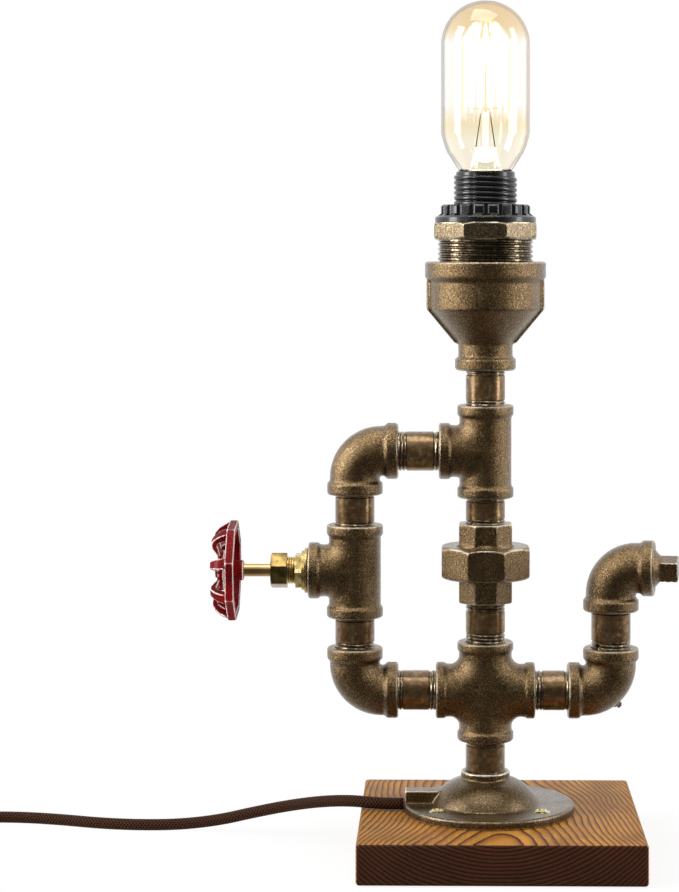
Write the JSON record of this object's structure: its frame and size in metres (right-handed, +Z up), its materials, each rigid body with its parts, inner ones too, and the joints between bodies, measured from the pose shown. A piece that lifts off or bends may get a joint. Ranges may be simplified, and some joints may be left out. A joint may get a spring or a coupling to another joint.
{
  "type": "pipe table lamp",
  "caption": "Table lamp built of cast pipe fittings on a square wooden base, with a red handwheel dimmer on a side loop and a filament bulb in a threaded holder.",
  "frame": {"origin": "where the column's axis meets the table, under the base", "axes": "+Z up along the column; +X towards the right arm, away from the handwheel; -Y towards the viewer's side"},
  "size_m": [0.5074, 0.155, 0.4604],
  "materials": {
    "felt": "matt",
    "wood": "satin varnish",
    "cast_bronze_paint": "antique bronze paint, satin",
    "dark_pipe": "dark bronze paint, satin",
    "zinc_screw": "yellow passivated",
    "fibre_gasket": "matt",
    "black_bakelite": "moulded gloss",
    "brass": "machined",
    "sheet_brass": "bright",
    "white_insulator": "matt",
    "black_glass": "gloss",
    "nickel_cap": "satin",
    "amber_glass": "clear",
    "stem_glass": "clear",
    "support_wire": "drawn",
    "filament": "glowing",
    "graphite_packing": "matt",
    "switch_case": "matt",
    "red_enamel": "gloss",
    "plain_steel": "machined",
    "lead_black": "satin",
    "lead_brown": "satin",
    "brown_braid": "woven",
    "black_rubber": "matt",
    "black_plug": "satin"
  },
  "bodies": {
    "lamp": {"base_felt": "felt", "wood_base": "wood", "floor_flange": "cast_bronze_paint", "flange_screws": "zinc_screw", "nipple_flange_cross": "dark_pipe", "nipple_cross_union": "dark_pipe", "nipple_union_tee": "dark_pipe", "nipple_tee_reducer": "dark_pipe", "nipple_left_lower": "dark_pipe", "nipple_left_upper": "dark_pipe", "nipple_right_riser": "dark_pipe", "nipple_cross_left": "dark_pipe", "nipple_elbow_tee": "dark_pipe", "nipple_cross_right": "dark_pipe", "cross_fitting": "cast_bronze_paint", "tee_column": "cast_bronze_paint", "tee_left": "cast_bronze_paint", "elbow_left_lower": "cast_bronze_paint", "elbow_left_upper": "cast_bronze_paint", "elbow_right_lower": "cast_bronze_paint", "elbow_right_upper": "cast_bronze_paint", "square_plug": "cast_bronze_paint", "union_lower": "cast_bronze_paint", "union_upper": "cast_bronze_paint", "union_nut": "cast_bronze_paint", "bell_reducer": "cast_bronze_paint", "bushing": "cast_bronze_paint", "union_gasket": "fibre_gasket", "lampholder_body": "black_bakelite", "lampholder_ring": "black_bakelite", "lampholder_shell": "sheet_brass", "lampholder_liner": "white_insulator", "lampholder_contact": "sheet_brass", "lampholder_terminals": "brass", "valve_bonnet": "brass", "packing_nut": "brass", "packing_ring": "graphite_packing", "dimmer_switch": "switch_case", "connector_block": "white_insulator", "cord_inner": "brown_braid", "cord_grommet": "black_rubber", "lead_base_switch": "lead_brown", "lead_switch_holder": "lead_brown", "lead_base_holder": "lead_black", "cord_tube": "brown_braid", "cord_tail": "brown_braid", "cord_coil": "brown_braid", "plug_relief": "black_rubber", "plug_body": "black_plug", "plug_blades": "brass"},
    "wheel": {"handwheel": "red_enamel", "handwheel_nut": "plain_steel", "valve_stem": "brass"},
    "bulb_carriage": {"bulb_contact": "plain_steel"},
    "bulb": {"bulb_glass": "amber_glass", "bulb_cap": "nickel_cap", "bulb_insulator": "black_glass", "bulb_stem": "stem_glass", "bulb_supports": "support_wire", "bulb_filament": "filament"}
  },
  "joints": [
    {"name": "handwheel_turn", "type": "hinge", "parent": "lamp", "child": "wheel", "pos_m": [-0.12, 0, 0.1518], "axis": [-1, 0, 0], "range_deg": [0, 270]},
    {"name": "bulb_lift", "type": "slide", "parent": "lamp", "child": "bulb_carriage", "axis": [0, 0, 1], "range_m": [0, 0.01628]},
    {"name": "bulb_turn", "type": "hinge", "parent": "bulb_carriage", "child": "bulb", "pos_m": [0, 0, 0.35], "axis": [0, 0, 1], "range_deg": [0, 1620]}
  ],
  "couplings": [
    {"joint": "bulb_turn", "follows": "bulb_lift", "rad_per_m": 1736.1}
  ]
}
